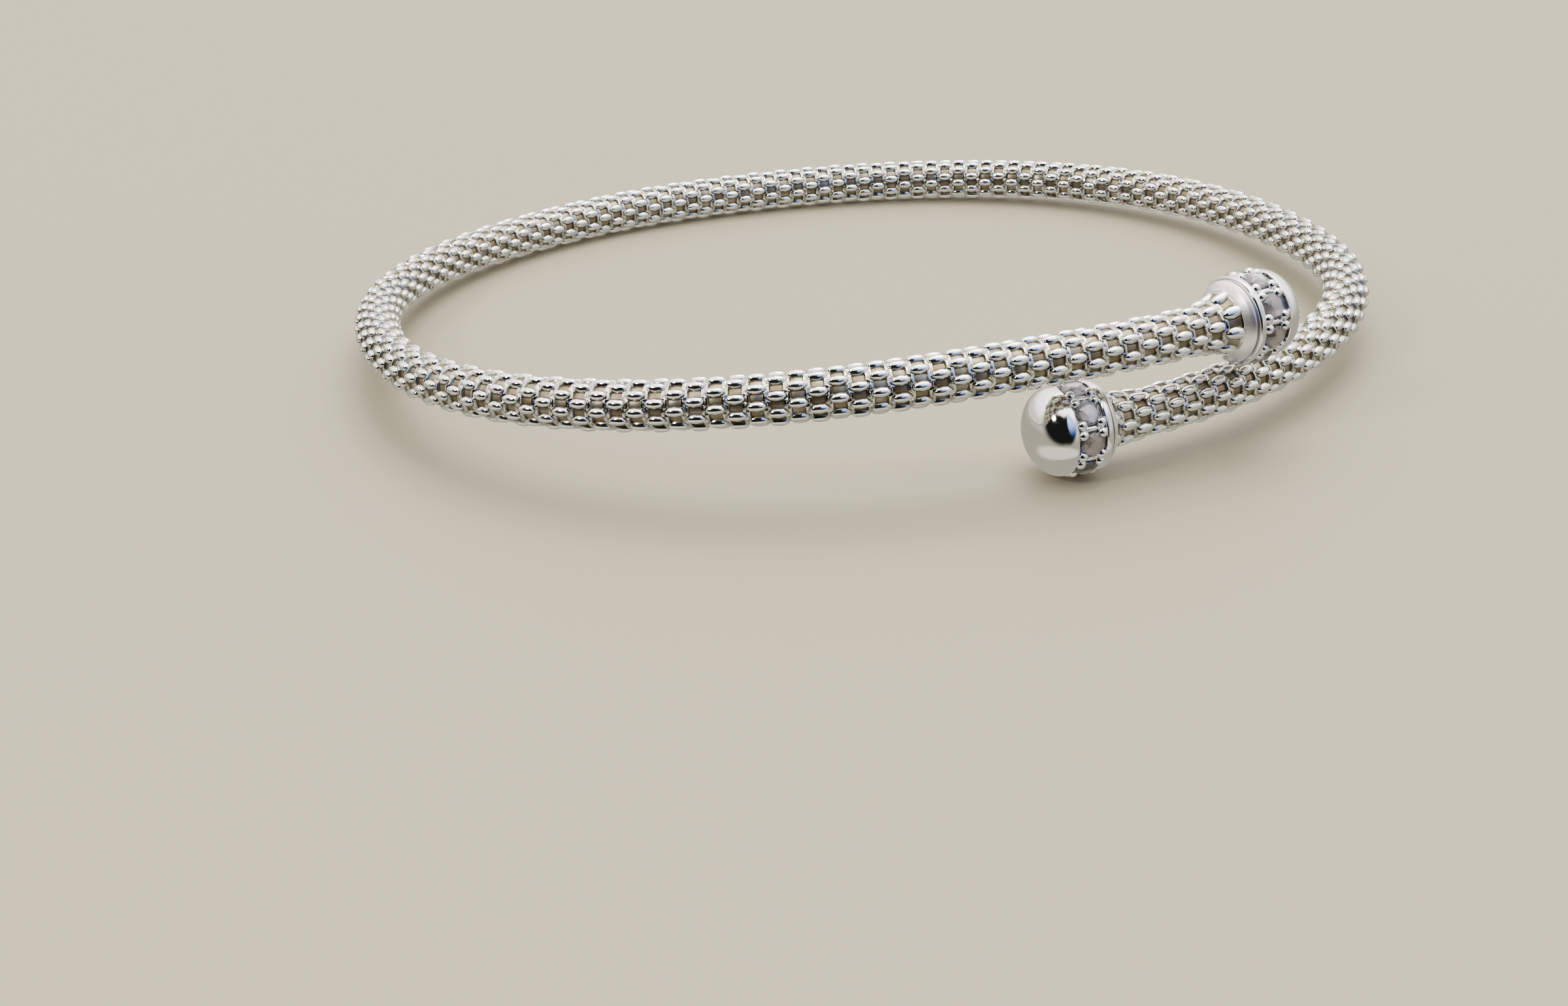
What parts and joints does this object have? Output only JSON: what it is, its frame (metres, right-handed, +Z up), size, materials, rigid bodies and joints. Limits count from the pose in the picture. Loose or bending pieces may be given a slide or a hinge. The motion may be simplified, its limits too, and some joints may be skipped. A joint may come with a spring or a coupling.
{
  "type": "mesh cuff bracelet",
  "caption": "Open wrap-over cuff bracelet of silver popcorn-mesh tube, its two ends capped by polished domes with bands of round clear stones.",
  "frame": {"origin": "under the middle of the bracelet's box, on the surface that it lies on", "axes": "+Z up out of the surface, through the wrist opening; +X along the longer side of the oval; the overlapping ends are at the -Y side, the lower cap pointing towards -X and the upper cap towards +X"},
  "size_m": [0.0656, 0.059, 0.0101],
  "materials": {
    "mesh_silver": "bright silver mesh sheet, polished bumps",
    "cast_silver": "mirror-polished cast silver",
    "clear_stone": "clear cut stone, faintly grey-violet"
  },
  "bodies": {
    "root": {"mesh_sleeve": "mesh_silver", "cap_lower": "cast_silver", "cap_upper": "cast_silver", "stone_lower_1": "clear_stone", "stone_lower_2": "clear_stone", "stone_lower_3": "clear_stone", "stone_lower_4": "clear_stone", "stone_lower_5": "clear_stone", "stone_lower_6": "clear_stone", "stone_lower_7": "clear_stone", "stone_lower_8": "clear_stone", "stone_upper_1": "clear_stone", "stone_upper_2": "clear_stone", "stone_upper_3": "clear_stone", "stone_upper_4": "clear_stone", "stone_upper_5": "clear_stone", "stone_upper_6": "clear_stone", "stone_upper_7": "clear_stone", "stone_upper_8": "clear_stone"}
  },
  "joints": []
}
